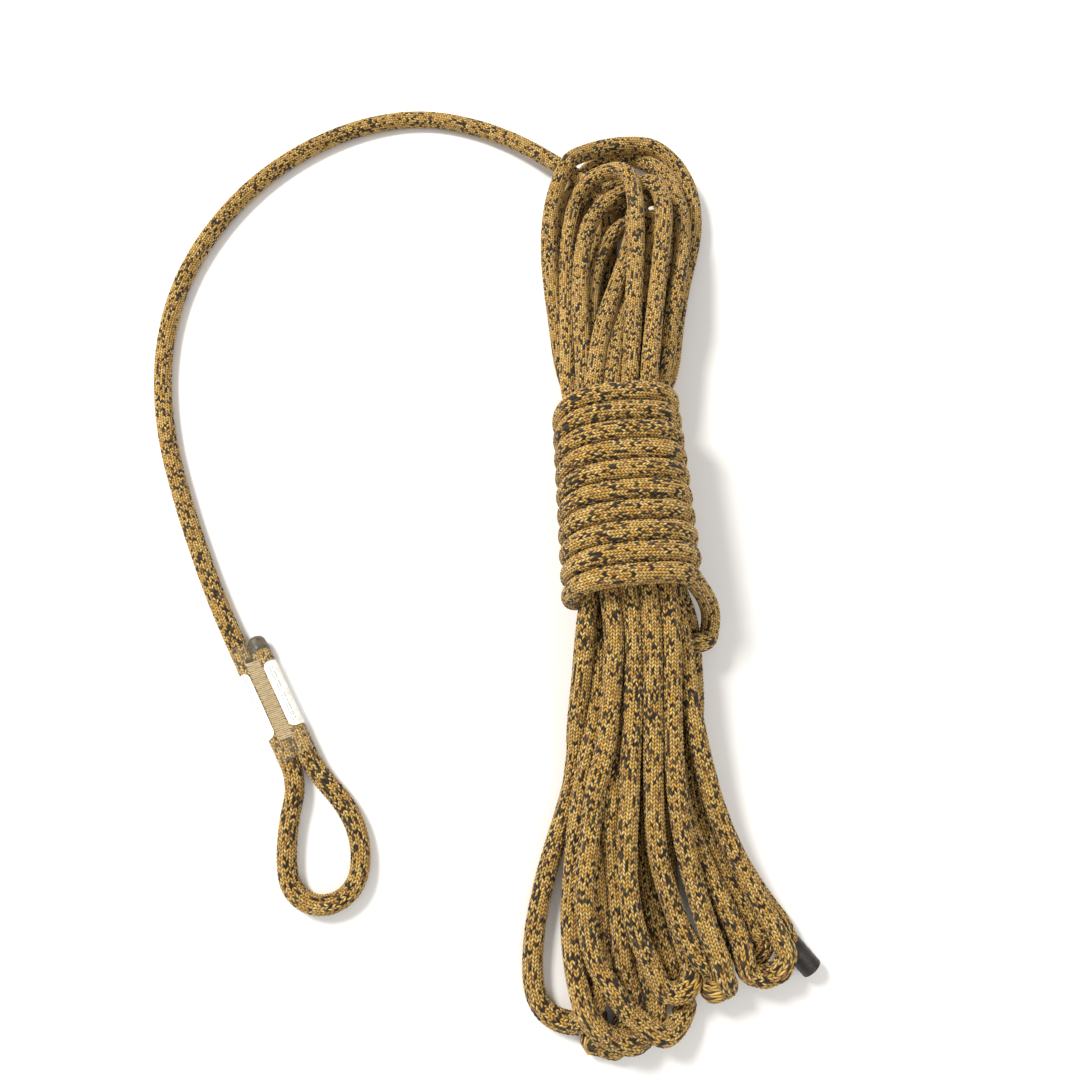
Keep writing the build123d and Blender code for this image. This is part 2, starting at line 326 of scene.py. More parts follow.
def hank_route():
    """The control points from the cut end to the tuck, and the marks where the pieces part."""
    points = [CUT_END] + CUT_RUN[::-1]
    marks = []
    before = None
    for enter, n, leave in LOOPS:
        if before:
            points += bottom_bight(before, enter)
        marks.append(len(points) + 2)
        points += waist_run(enter, True)
        points += TOP[n] if enter[0] == "L" else TOP[n][::-1]
        marks.append(len(points) + 2)
        points += waist_run(leave, False)
        before = leave
    points += [(133.0, -84.0, 27.0), (134.0, -98.0, 26.0)] + SIDE_BIGHT
    marks.append(len(points) - 1)
    turns = frapping_route()
    count = len(turns) - 8
    marks += [len(points) + int(count * share) for share in (0.25, 0.5, 0.75, 1.0)]
    points += turns
    return points, marks


def nearest_length(line, along, share, point, window=0.02):
    """The length at which the line, near that share of itself, comes nearest to the point."""
    middle = int(share * len(line))
    reach = int(window * len(line)) + 20
    low, high = max(0, middle - reach), min(len(line), middle + reach)
    off = np.linalg.norm(line[low:high] - np.asarray(point), axis=1)
    return along[low + int(np.argmin(off))]


def close_pairs(spots, reach=15.0):
    """The pairs of spots that are near each other, and not near along the rope."""
    square = (spots ** 2).sum(axis=1)
    gaps = square[:, None] + square[None, :] - 2.0 * spots @ spots.T
    a, b = np.nonzero(gaps < reach * reach)
    keep = b - a > 3
    return a[keep], b[keep]


def push_apart(spots, free, a, b):
    """Moves near strands apart until they lie a diameter from each other."""
    way = spots[b] - spots[a]
    gap = np.linalg.norm(way, axis=1)
    close = gap < GAP
    a, b, way, gap = a[close], b[close], way[close], gap[close]
    share = free[a] + free[b]
    push = way * ((GAP - gap) / np.maximum(gap, 0.1) * 0.42 / np.maximum(share, 1.0))[:, None]
    for k in range(3):
        spots[:, k] -= free * np.bincount(a, push[:, k], len(spots))
        spots[:, k] += free * np.bincount(b, push[:, k], len(spots))


def keep_lengths(spots, free, rest):
    """Holds each spot at its own distance from the next."""
    for first in (0, 1):
        a = np.arange(first, len(spots) - 1, 2)
        way = spots[a + 1] - spots[a]
        gap = np.maximum(np.linalg.norm(way, axis=1), 0.1)
        share = np.maximum(free[a] + free[a + 1], 1.0)
        move = way * ((gap - rest[a]) / gap / share)[:, None]
        spots[a] += free[a, None] * move
        spots[a + 1] -= free[a + 1, None] * move


def relax(spots, free, pull, rounds):
    """Lets the strands settle: they keep their length, bend gently and lie on what is below."""
    goal = spots.copy()
    rest = np.linalg.norm(np.diff(spots, axis=0), axis=1)
    a, b = close_pairs(spots)
    pull = free[:, None] * pull[:, None] * np.array([1.0, 1.0, 0.35])
    for n in range(rounds):
        late = n > LATE * rounds
        if n % 6 == 5:
            a, b = close_pairs(spots)
        spots += pull * (goal - spots) * (LATE_PULL if late else 1.0)
        spots[:, 2] -= free * (LATE_SINK if late else SINK)
        bend = (spots[:-2] + spots[2:]) / 2 - spots[1:-1]
        spots[1:-1] += BEND * free[1:-1, None] * bend
        bow = (spots[:-8] + spots[8:]) / 2 - spots[4:-4]
        size = np.maximum(np.linalg.norm(bow, axis=1), 0.01)
        tight = np.maximum(size - MAX_BOW, 0.0) / size
        spots[4:-4] += 0.3 * free[4:-4, None] * tight[:, None] * bow
        for _ in range(3):
            keep_lengths(spots, free, rest)
            push_apart(spots, free, a, b)
        spots[:, 2] = np.maximum(spots[:, 2], REST_Z)
    return spots


def settled_hank():
    """The hank's centreline after it has settled, and the lengths at which its pieces part."""
    points, marks = hank_route()
    line = nurbs_line(points + FREE_STRAND[:4])
    along = lengths(line)
    total = len(points) + 4
    near = [nearest_length(line, along, m / (total - 1), (points + FREE_STRAND)[m])
            for m in marks]
    hank_end = nearest_length(line, along, len(points) / (total - 1), FREE_STRAND[0])
    count = int(round(hank_end / SPACING))
    wanted = np.arange(count + 12) * (hank_end / count)
    spots = at_lengths(line, along, wanted)
    free = np.ones(len(spots))
    free[:4] = 0.0
    free[count - 2:] = 0.0
    turns_from = int(near[-5] / SPACING) + 2
    turns_to = int(near[-1] / SPACING)
    free[turns_from:turns_to] = 0.0
    stray = [nearest_length(line, along, 0.5, p, 0.5) for p in FIXED_BIGHT]
    free[int(min(stray) / SPACING):int(max(stray) / SPACING) + 1] = 0.0
    marked = np.round(np.array(near) / (hank_end / count)).astype(int)
    pull = np.full(len(spots), END_PULL)
    # Pieces 1 to 17 are the top and the bottom bights in turn.
    for k in range(1, 18):
        pull[marked[k - 1]:marked[k]] = LOW_PULL if k < 4 else HIGH_PULL
    spots = relax(spots, free, pull, ROUNDS)
    print("hank length", round(hank_end), "spots", len(spots))
    settled = nurbs_line([tuple(p) for p in spots[:count + 1]], finest=False)
    run = lengths(settled)
    parts = [nearest_length(settled, run, m / count, spots[m], 0.004) for m in marked]
    return settled, run, parts


# ---- the rope as mesh: twenty-two braided columns round the line -----------------------------
COLUMNS = 22
SIDES = 2 * COLUMNS
CELL = 2.0                     # length of one braid cell along the rope
STEP = 1.0                     # from ring to ring
COARSE = 5                     # inside the waist only every fifth ring is made
CREST_R = 5.6
GROOVE_R = 5.15
HANK_SWELL = 1.03              # the strands in the hank press each other flat and wide
TURN_SWELL = 1.09              # and so do the frapping turns, along the waist
TWIST_EVERY = 900.0            # the columns go once round the rope in this length


def rotate_about(vector, axis, cosine, sine):
    """The vector turned about the axis."""
    return (vector * cosine + np.cross(axis, vector) * sine
            + axis * np.dot(axis, vector) * (1 - cosine))


def frames(spots):
    """The direction at each spot, and a side direction that doesn't twist about it."""
    ahead = np.gradient(spots, axis=0)
    ahead /= np.linalg.norm(ahead, axis=1)[:, None]
    side = np.empty_like(ahead)
    first = np.cross(ahead[0], (0.0, 0.0, 1.0))
    side[0] = first / np.linalg.norm(first)
    for k in range(1, len(ahead)):
        axis = np.cross(ahead[k - 1], ahead[k])
        sine = np.linalg.norm(axis)
        now = side[k - 1]
        if sine > 1e-9:
            now = rotate_about(now, axis / sine, float(np.dot(ahead[k - 1], ahead[k])), sine)
        now = now - ahead[k] * np.dot(now, ahead[k])
        side[k] = now / np.linalg.norm(now)
    return ahead, side


class Line:
    """A rope's centreline, cut into rings one step apart, with its own lengthwise count."""

    def __init__(self, line, start=0.0):
        along = lengths(line)
        count = int(round(along[-1] / STEP))
        self.spots = at_lengths(line, along, np.linspace(0.0, along[-1], count + 1))
        self.ahead, self.side = frames(self.spots)
        self.start = start
        self.length = along[-1]
        self.s = start + np.arange(count + 1) * STEP

    def ring(self, length):
        """The number of the ring nearest to that length, on a cell's border."""
        return int(min(len(self.s) - 1, 2 * round(length / (2 * STEP))))


def mesh_object(name, verts, faces, uvs=None):
    """A mesh object in the row frame from millimetres, smooth, with the braid's UV map."""
    mesh = bpy.data.meshes.new(name)
    mesh.from_pydata([], [], [])
    verts = np.asarray(verts, dtype=np.float32) * MM
    sizes = np.array([len(f) for f in faces]) if not isinstance(faces, np.ndarray) else None
    if sizes is None:
        sizes = np.full(len(faces), faces.shape[1])
        flat = faces.ravel()
    else:
        flat = np.array([v for f in faces for v in f])
    mesh.vertices.add(len(verts))
    mesh.vertices.foreach_set("co", verts.ravel())
    mesh.loops.add(len(flat))
    mesh.loops.foreach_set("vertex_index", flat.astype(np.int32))
    mesh.polygons.add(len(sizes))
    starts = np.concatenate(([0], np.cumsum(sizes)[:-1]))
    mesh.polygons.foreach_set("loop_start", starts.astype(np.int32))
    mesh.polygons.foreach_set("use_smooth", np.ones(len(sizes), dtype=bool))
    mesh.update(calc_edges=True)
    if uvs is not None:
        layer = mesh.uv_layers.new(name="braid")
        layer.data.foreach_set("uv", np.asarray(uvs, dtype=np.float32).ravel())
    mesh.validate()
    obj = bpy.data.objects.new(name, mesh)
    bpy.context.scene.collection.objects.link(obj)
    return obj


def rope_piece(name, line, first, last, hidden=None, swell=1.0, widen_y=1.0):
    """A braided tube from ring first to ring last, swollen all round or along Y only."""
    rings = np.arange(first, last + 1)
    if hidden is not None:
        keep = ~hidden[rings] | (rings % COARSE == 0)
        keep[0] = keep[-1] = True
        rings = rings[keep]
    s = line.s[rings]
    count = len(rings)
    sides = np.arange(SIDES)
    centre = sides % 2 == 1
    crest = np.abs(np.round(s / STEP)) % 2 == 0
    radius = np.where(centre[None, :] & crest[:, None], CREST_R, GROOVE_R)
    radius = np.where(centre[None, :] & ~crest[:, None], 0.4 * CREST_R + 0.6 * GROOVE_R, radius)
    if hidden is not None:
        radius = np.where(hidden[rings][:, None], (CREST_R + GROOVE_R) / 2, radius)
    turn = 2 * np.pi * (sides[None, :] / SIDES + (s / TWIST_EVERY)[:, None])
    up = np.cross(line.ahead[rings], line.side[rings])
    out = (np.cos(turn)[:, :, None] * line.side[rings][:, None, :]
           + np.sin(turn)[:, :, None] * up[:, None, :])
    off = out * radius[:, :, None] * swell
    off[:, :, 1] *= widen_y
    spots = line.spots[rings][:, None, :] + off
    verts = np.concatenate((spots.reshape(-1, 3), line.spots[rings[[0, -1]]]))
    ring, side = np.meshgrid(np.arange(count - 1), sides, indexing="ij")
    after = (side + 1) % SIDES
    quads = np.stack((ring * SIDES + side, ring * SIDES + after,
                      (ring + 1) * SIDES + after, (ring + 1) * SIDES + side), axis=2)
    quads = quads.reshape(-1, 4)
    u = side / 2.0
    v0, v1 = s[ring] / CELL, s[ring + 1] / CELL
    uvs = np.stack((np.stack((u, v0), 2), np.stack((u + 0.5, v0), 2),
                    np.stack((u + 0.5, v1), 2), np.stack((u, v1), 2)), axis=2)
    caps = [[count * SIDES, (k + 1) % SIDES, k] for k in range(SIDES)]
    base = (count - 1) * SIDES
    caps += [[count * SIDES + 1, base + k, base + (k + 1) % SIDES] for k in range(SIDES)]
    cap_uvs = []
    for k, cap in enumerate(caps):
        end_v = s[0] / CELL if k < SIDES else s[-1] / CELL
        cap_uvs += [(k % SIDES / 2.0, end_v)] * 3
    faces = quads.tolist() + caps
    all_uvs = np.concatenate((uvs.reshape(-1, 2), np.array(cap_uvs)))
    obj = mesh_object(name, verts, faces, all_uvs)
    obj.data.materials.append(rope_cover())
    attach(obj, "root")
    return obj


def declare(line, first, last, far_end):
    """The length, in metres, of the rope along those rings of its line."""
    path = line.spots[first:last + 1] * MM
    if far_end == "bare":
        path = path[::-1]
    length = float(lengths(path)[-1])
    return length


# ---- materials -------------------------------------------------------------------------------
LABEL_ROW = 1.4                # from one row of the label's dashes to the next


def rgb(red, green, blue):
    """A screen colour, 0 to 255, as the linear colour that a shader takes."""
    out = []
    for value in (red, green, blue):
        v = value / 255.0
        out.append(v / 12.92 if v <= 0.04045 else ((v + 0.055) / 1.055) ** 2.4)
    return (*out, 1.0)


class Graph:
    """A material under construction: short calls that add nodes and link them."""

    def __init__(self, name):
        self.material = bpy.data.materials.new(name)
        self.material.use_nodes = True
        self.tree = self.material.node_tree
        self.shader = self.tree.nodes["Principled BSDF"]

    def add(self, kind, **settings):
        node = self.tree.nodes.new("ShaderNode" + kind)
        for key, value in settings.items():
            setattr(node, key, value)
        return node

    def put(self, socket, value):
        """Links a socket to the input, or sets the input's own value."""
        if isinstance(value, bpy.types.NodeSocket):
            self.tree.links.new(value, socket)
        else:
            socket.default_value = value

    def math(self, operation, *values, clamp=False):
        node = self.add("Math", operation=operation, use_clamp=clamp)
        for socket, value in zip(node.inputs, values):
            self.put(socket, value)
        return node.outputs[0]

    def mix(self, share, low, high, mode="MIX"):
        node = self.add("Mix", data_type="RGBA", blend_type=mode)
        self.put(node.inputs["Factor"], share)
        self.put(node.inputs[6], low)
        self.put(node.inputs[7], high)
        return node.outputs[2]

    def ramp(self, value, low, high, to_low=0.0, to_high=1.0):
        node = self.add("MapRange", interpolation_type="SMOOTHSTEP")
        for socket, v in zip(node.inputs, (value, low, high, to_low, to_high)):
            self.put(socket, v)
        return node.outputs[0]

    def vector(self, x=0.0, y=0.0, z=0.0):
        node = self.add("CombineXYZ")
        for socket, value in zip(node.inputs, (x, y, z)):
            self.put(socket, value)
        return node.outputs[0]

    def noise(self, vector, scale, detail=2.0, roughness=0.5):
        node = self.add("TexNoise")
        self.put(node.inputs["Vector"], vector)
        self.put(node.inputs["Scale"], scale)
        self.put(node.inputs["Detail"], detail)
        self.put(node.inputs["Roughness"], roughness)
        return node.outputs[0]

    def white(self, vector):
        """Three random numbers for each cell."""
        node = self.add("TexWhiteNoise", noise_dimensions="3D")
        self.put(node.inputs["Vector"], vector)
        split = self.add("SeparateXYZ")
        self.put(split.inputs[0], node.outputs["Color"])
        return split.outputs

    def object_place(self):
        return self.add("TexCoord").outputs["Object"]

    def bump(self, height, distance, strength=1.0):
        node = self.add("Bump")
        self.put(node.inputs["Strength"], strength)
        self.put(node.inputs["Distance"], distance)
        self.put(node.inputs["Height"], height)
        self.put(self.shader.inputs["Normal"], node.outputs[0])

    def surface(self, **values):
        """Sets the shader's sockets by name, with _ for a space."""
        for key, value in values.items():
            self.put(self.shader.inputs[key.replace("_", " ")], value)


MADE = {}


def made_once(build):
    """Keeps the material that a builder makes, so that all its pieces share one."""
    def wrapped():
        if build.__name__ not in MADE:
            MADE[build.__name__] = build()
        return MADE[build.__name__]
    return wrapped


@made_once
def rope_cover():
    """The braided cover: a chevron of yarn cells, most of them tan, the rest black and olive, with
    painted shade in the grooves between the cells.
    """
    g = Graph("braided_cover")
    split = g.add("SeparateXYZ")
    g.put(split.inputs[0], g.add("UVMap", uv_map="braid").outputs[0])
    u, v = split.outputs[0], split.outputs[1]
    column = g.math("FLOOR", g.math("ADD", u, 0.0001))
    x = g.math("SUBTRACT", u, column)
    odd = g.math("FLOORED_MODULO", column, 2.0)
    # A yarn climbs in the even columns and falls in the odd ones, so that they meet in a V.
    climb = g.math("SUBTRACT", x, g.math("MULTIPLY", odd, g.math("MULTIPLY_ADD", x, 2.0, -1.0)))
    phase = g.math("MULTIPLY_ADD", climb, 0.78, v)
    row = g.math("FLOOR", phase)
    f = g.math("SUBTRACT", phase, row)
    cell = g.white(g.vector(row, column, 0.5))
    other = g.white(g.vector(row, column, 7.5))

    across = g.math("MULTIPLY_ADD", x, 2.0, -1.0)
    dome_x = g.math("SUBTRACT", 1.0, g.math("POWER", g.math("ABSOLUTE", across), 3.4))
    along = g.math("MULTIPLY_ADD", f, 2.0, -1.0)
    dome_f = g.math("SUBTRACT", 1.0, g.math("POWER", g.math("ABSOLUTE", along), 2.4))
    dome = g.math("MULTIPLY", dome_x, dome_f)

    place = g.vector(g.math("MULTIPLY", x, 1.1), g.math("MULTIPLY", phase, 7.0), cell[0])
    fibre = g.noise(place, 3.0, 3.0, 0.6)
    drift = g.noise(g.vector(g.math("MULTIPLY", u, 0.22), g.math("MULTIPLY", v, 0.075)), 1.0)

    tan = g.mix(cell[1], rgb(184, 138, 58), rgb(246, 208, 124))
    gold = g.mix(g.ramp(other[0], 0.60, 0.9), tan, rgb(224, 172, 70))
    warm = g.mix(g.ramp(other[2], 0.91, 0.96), gold, rgb(158, 108, 60))
    dark = g.mix(g.ramp(other[1], 0.55, 0.70), rgb(22, 15, 8), rgb(72, 66, 28))
    limit = g.ramp(drift, 0.30, 0.72, 0.14, 0.34)
    flecked = g.mix(g.math("LESS_THAN", cell[2], limit), warm, dark)
    streaked = g.mix(g.ramp(fibre, 0.3, 0.75, 0.30, 0.0), flecked, rgb(66, 45, 22))
    # Painted shade: the colour darkens towards brown in the grooves between the yarn cells, where the
    # dome is low.
    groove_shade = g.ramp(dome, 0.05, 0.72, 0.94, 0.0)
    colour = g.mix(groove_shade, streaked, rgb(50, 33, 15))
    g.surface(Base_Color=colour, Sheen_Weight=0.12, Sheen_Roughness=0.5,
              Specular_IOR_Level=0.3)
    g.put(g.shader.inputs["Roughness"], g.ramp(fibre, 0.2, 0.8, 0.86, 0.62))
    height = g.math("MULTIPLY_ADD", fibre, 0.20, dome)
    g.bump(height, 0.0006, 1.0)
    return g.material


def throat_split(g):
    """How far across and how far along the throat a surface point lies, in millimetres."""
    split = g.add("SeparateXYZ")
    g.put(split.inputs[0], g.object_place())
    dx, dy = THROAT_DIR
    x = g.math("MULTIPLY_ADD", split.outputs[0], 1 / MM, -THROAT_TOP[0])
    y = g.math("MULTIPLY_ADD", split.outputs[1], 1 / MM, -THROAT_TOP[1])
    across = g.math("SUBTRACT", g.math("MULTIPLY", y, dx), g.math("MULTIPLY", x, dy))
    along = g.math("ADD", g.math("MULTIPLY", x, dx), g.math("MULTIPLY", y, dy))
    return across, along


@made_once
def label_paper():
    """White satin label stock with rows of plain dashes and no lettering."""
    g = Graph("label_paper")
    across, along = throat_split(g)
    grime = g.noise(g.object_place(), 160.0, 4.0, 0.6)
    paper = g.mix(g.ramp(grime, 0.45, 0.85), rgb(251, 251, 249), rgb(226, 222, 212))
    side = g.math("ABSOLUTE", across)
    row = g.math("FLOORED_MODULO", side, LABEL_ROW)
    in_row = g.math("LESS_THAN", g.math("ABSOLUTE", g.math("SUBTRACT", row, LABEL_ROW / 2)), 0.24)
    number = g.math("FLOOR", g.math("DIVIDE", side, LABEL_ROW))
    dash = g.math("DIVIDE", along, 1.15)
    pick = g.white(g.vector(g.math("FLOOR", dash), number, 2.5))
    inked = g.math("GREATER_THAN", pick[0], 0.30)
    gap = g.math("LESS_THAN", g.math("FRACT", dash), 0.72)
    wing = g.math("MULTIPLY", g.math("GREATER_THAN", side, 7.0), g.math("LESS_THAN", side, 9.8))
    run = g.math("MULTIPLY", g.math("GREATER_THAN", along, 20.0), g.math("LESS_THAN", along, 56.0))
    mark = g.math("MULTIPLY", g.math("MULTIPLY", in_row, inked), g.math("MULTIPLY", gap, wing))
    mark = g.math("MULTIPLY", g.math("MULTIPLY", mark, run), 0.75)
    g.surface(Base_Color=g.mix(mark, paper, rgb(46, 44, 46)), Specular_IOR_Level=0.45)
    g.put(g.shader.inputs["Roughness"], g.ramp(grime, 0.3, 0.8, 0.34, 0.52))
    g.bump(grime, 0.0001, 0.5)
    return g.material


@made_once
def shrink_film():
    """Clear shrink film, glossy, with faint wrinkles across it and a slight yellow tint."""
    g = Graph("shrink_film")
    across, along = throat_split(g)
    place = g.vector(g.math("MULTIPLY", across, 0.10), g.math("MULTIPLY", along, 0.45))
    wrinkle = g.noise(place, 1.6, 3.0, 0.55)
    g.surface(Base_Color=rgb(226, 208, 168), IOR=1.45, Coat_Weight=0.35, Coat_Roughness=0.06)
    g.put(g.shader.inputs["Alpha"], g.ramp(wrinkle, 0.3, 0.8, 0.03, 0.10))
    g.put(g.shader.inputs["Roughness"], g.ramp(wrinkle, 0.3, 0.8, 0.10, 0.26))
    g.bump(wrinkle, 0.0005, 0.7)
    return g.material


@made_once
def bonded_thread():
    """Tan bonded thread: two plies twisted round each other, with painted shade between them and a
    waxy sheen.
    """
    g = Graph("bonded_thread")
    across, along = throat_split(g)
    ply = g.math("SINE", g.math("MULTIPLY_ADD", across, 7.5, g.math("MULTIPLY", along, 5.0)))
    tone = g.noise(g.object_place(), 420.0, 3.0, 0.6)
    base = g.mix(g.ramp(tone, 0.3, 0.75), rgb(196, 172, 128), rgb(222, 202, 162))
    # Painted shade: the thread is mixed towards dark brown in the valleys between its two plies.
    g.surface(Base_Color=g.mix(g.ramp(ply, -1.0, 0.2, 0.55, 0.0), base, rgb(122, 98, 62)),
              Sheen_Weight=0.1)
    g.put(g.shader.inputs["Roughness"], g.ramp(tone, 0.3, 0.8, 0.42, 0.62))
    g.bump(ply, 0.00012, 0.8)
    return g.material


def black_rubber(name, low, high, scale, depth):
    """Black dipped or shrunk plastic: mottled gloss and a fine uneven skin."""
    g = Graph(name)
    coarse = g.noise(g.object_place(), scale, 4.0, 0.6)
    fine = g.noise(g.object_place(), scale * 7.0, 3.0, 0.6)
    g.surface(Base_Color=g.mix(g.ramp(coarse, 0.3, 0.75), low, high), Specular_IOR_Level=0.5)
    g.put(g.shader.inputs["Roughness"], g.ramp(fine, 0.3, 0.8, 0.34, 0.62))
    g.bump(g.math("MULTIPLY_ADD", fine, 0.3, coarse), depth, 0.8)
    return g.material


@made_once
def dipped_seal():
    return black_rubber("dipped_seal", rgb(24, 20, 18), rgb(50, 42, 36), 260.0, 0.0004)


@made_once
def shrink_sleeve():
    return black_rubber("shrink_sleeve", rgb(22, 18, 16), rgb(44, 37, 33), 180.0, 0.0003)


@made_once
def core_yarns():
    """The cut ends of the core's twisted yarns, cream and slightly singed."""
    g = Graph("core_yarns")
    tone = g.noise(g.object_place(), 900.0, 4.0, 0.65)
    broad = g.noise(g.object_place(), 190.0, 2.0)
    cream = g.mix(g.ramp(tone, 0.3, 0.75), rgb(150, 120, 84), rgb(206, 182, 142))
    g.surface(Base_Color=g.mix(g.ramp(broad, 0.5, 0.8, 0.0, 0.6), cream, rgb(96, 66, 44)),
              Sheen_Weight=0.15, Roughness=0.85)
    g.bump(tone, 0.0003, 0.9)
    return g.material


# ---- camera ----------------------------------------------------------------------------------
CAMERA_PLACE = (55.5, -170.0, 458.0)
CAMERA_DOWN = 73.0             # how far the view is turned down from the horizon
FOCAL_PIXELS = 750.0           # in the 1080 pixel frame

camera_data = bpy.data.cameras.new("camera")
camera_data.sensor_width = 36.0
camera_data.lens = 36.0 * FOCAL_PIXELS / 1080.0
camera_data.clip_start = 0.01
camera_data.clip_end = 20.0
camera = bpy.data.objects.new("camera", camera_data)
camera.location = [c * MM for c in CAMERA_PLACE]
camera.rotation_euler = (math.radians(90.0 - CAMERA_DOWN), 0.0, 0.0)
bpy.context.scene.collection.objects.link(camera)
bpy.context.scene.camera = camera


# ---- the throat's and the cut end's own pieces -----------------------------------------------
STITCHES = 44
STITCH_FROM, STITCH_TO = 13.5, 62.5
STITCH_HALF = 4.3              # half of a stitch's reach across the groove
FILM_FROM, FILM_TO = 0.0, THROAT_LENGTH
FILM_OUT = 6.42
FILM_T = 0.3


def finished(obj, material, slot, *replaced):
    """Gives a piece its material and its body, and hides the CAD nodes that it stands for. The slot
    is not used.
    """
    obj.data.materials.append(material)
    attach(obj, "root")
    if replaced:
        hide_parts(*replaced)
    return obj


def skin(rings, closed=False):
    """Faces between rings of equal counts. A closed skin's last ring joins its first."""
    count, sides = len(rings), len(rings[0])
    faces = []
    for k in range(count if closed else count - 1):
        low, high = k * sides, (k + 1) % count * sides
        for n in range(sides):
            after = (n + 1) % sides
            faces.append((low + n, low + after, high + after, high + n))
    return faces


def lathe(axis_spot, ahead, profile, sides, ripple):
    """Rings about an axis through the profile's (along, radius) points, not quite round."""
    ahead = np.array(ahead) / np.linalg.norm(ahead)
    side = np.cross(ahead, (0.0, 0.0, 1.0))
    up = np.cross(side, ahead)
    rings = []
    for k, (along, radius) in enumerate(profile):
        ring = []
        for n in range(sides):
            a = 2 * math.pi * n / sides
            r = radius * (1 + ripple * math.sin(3 * a + 0.7 * k) * math.cos(2 * a - 0.4 * k))
            out = math.cos(a) * side + math.sin(a) * up
            ring.append(np.array(axis_spot) + ahead * along + out * r)
        rings.append(ring)
    return rings


def cut_sleeve():
    """The shrink sleeve over the cut end, rolled in a little at both of its rims."""
    length = SLEEVE_LENGTH
    profile = [(-length, 5.5), (-length - 0.1, 5.9), (-length + 0.5, SLEEVE_R)]
    for step in range(2, 15):
        profile.append((-length + step, SLEEVE_R - 0.06 + 0.06 * math.sin(1.7 * step)))
    profile += [(-0.7, SLEEVE_R), (-0.15, 5.95), (0.0, 5.6), (-0.2, 5.25), (-1.2, 5.1)]
    profile += [(-1.4, 5.0), (-length + 0.3, 5.1)]
    rings = lathe(CUT_END, CUT_DIR, profile, 48, 0.012)
    verts = [v for ring in rings for v in ring]
    obj = mesh_object("cut_end_shrink_sleeve", verts, skin(rings, closed=True))
    return finished(obj, shrink_sleeve(), "end_sleeve", "cut_end_sleeve")


def cut_face():
    """The cut face: a disc of melted cover round the domed ends of the core's yarns."""
    disc = lathe(CUT_END, CUT_DIR, [(-1.3, 5.0), (-0.7, 4.9), (-0.45, 4.2), (-0.7, 0.4)], 40, 0.02)
    verts = [v for ring in disc for v in ring]
    faces = skin(disc)
    faces.append(tuple(range(120, 160)))
    faces.append(tuple(range(39, -1, -1)))
    ahead = np.array(CUT_DIR)
    side = np.cross(ahead, (0.0, 0.0, 1.0))
    up = np.cross(side, ahead)
    spots = [(0.0, 0.0)]
    for circle, count in ((1.55, 6), (3.05, 12)):
        for n in range(count):
            a = 2 * math.pi * (n + 0.3 * circle) / count
            spots.append((circle * math.cos(a), circle * math.sin(a)))
    for k, (across, high) in enumerate(spots):
        middle = np.array(CUT_END) + side * across + up * high
        lift = 0.16 * math.sin(2.1 * k)
        profile = [(-0.9, 0.74), (-0.5 + lift, 0.72), (-0.22 + lift, 0.52), (-0.12 + lift, 0.2)]
        yarn = lathe(middle, CUT_DIR, profile, 12, 0.06)
        base = len(verts)
        verts += [v for ring in yarn for v in ring]
        faces += [tuple(base + v for v in face) for face in skin(yarn)]
        faces.append(tuple(base + 36 + n for n in range(12)))
        faces.append(tuple(base + n for n in range(11, -1, -1)))
    obj = mesh_object("cut_end_face", verts, faces)
    return finished(obj, core_yarns(), "rope_core", "cut_end_core")


def tail_seal():
    """The dipped seal on the tail leg's end: a soft dome with a thick lower rim."""
    profile = [(0.4, 5.2), (0.1, 5.7), (-0.8, 5.75), (-1.6, 5.65), (-3.2, 5.5), (-5.0, 5.4)]
    for step in range(1, 8):
        a = math.radians(12.5 * step)
        profile.append((-5.6 - 4.3 * math.sin(a), 5.35 * math.cos(a) ** 0.8))
    rings = lathe(throat_point(ROPE_R, TAIL_START), (*THROAT_DIR, 0.0), profile, 40, 0.012)
    verts = [v for ring in rings for v in ring]
    last = len(verts) - 40
    faces = skin(rings) + [tuple(range(last + 39, last - 1, -1)), tuple(range(40))]
    obj = mesh_object("tail_end_dip", verts, faces)
    return finished(obj, dipped_seal(), "dip_seal", "tail_end_seal")


def throat_stitches():
    """Close rows of thread over the groove between the legs, on both faces, leaning a little."""
    verts, faces = [], []
    for face in (1.0, -1.0):
        for k in range(STITCHES):
            along = STITCH_FROM + (STITCH_TO - STITCH_FROM) * k / (STITCHES - 1)
            lean = 0.75 + 0.18 * math.sin(1.9 * k)
            reach = STITCH_HALF + 0.22 * math.sin(2.7 * k + face)
            rings = []
            for step in range(-5, 6):
                share = step / 5
                radius = 0.5 if abs(step) < 5 else 0.2
                high = 4.95 + 0.55 * share * share - (0.25 if abs(step) == 5 else 0.0)
                middle = np.array(throat_point(reach * share, along + lean * share))
                ring = []
                for n in range(8):
                    a = 2 * math.pi * n / 8
                    up = face * high + radius * 0.8 * math.sin(a)
                    x, y, z = middle
                    dx, dy = THROAT_DIR
                    off = radius * math.cos(a)
                    ring.append((x + dx * off, y + dy * off, z + up))
                rings.append(ring)
            base = len(verts)
            verts += [v for ring in rings for v in ring]
            faces += [tuple(base + v for v in quad) for quad in skin(rings)]
            faces.append(tuple(base + n for n in range(7, -1, -1)))
            faces.append(tuple(base + 80 + n for n in range(8)))
    obj = mesh_object("throat_stitches", verts, faces)
    return finished(obj, bonded_thread(), "stitch_thread", "throat_stitching")


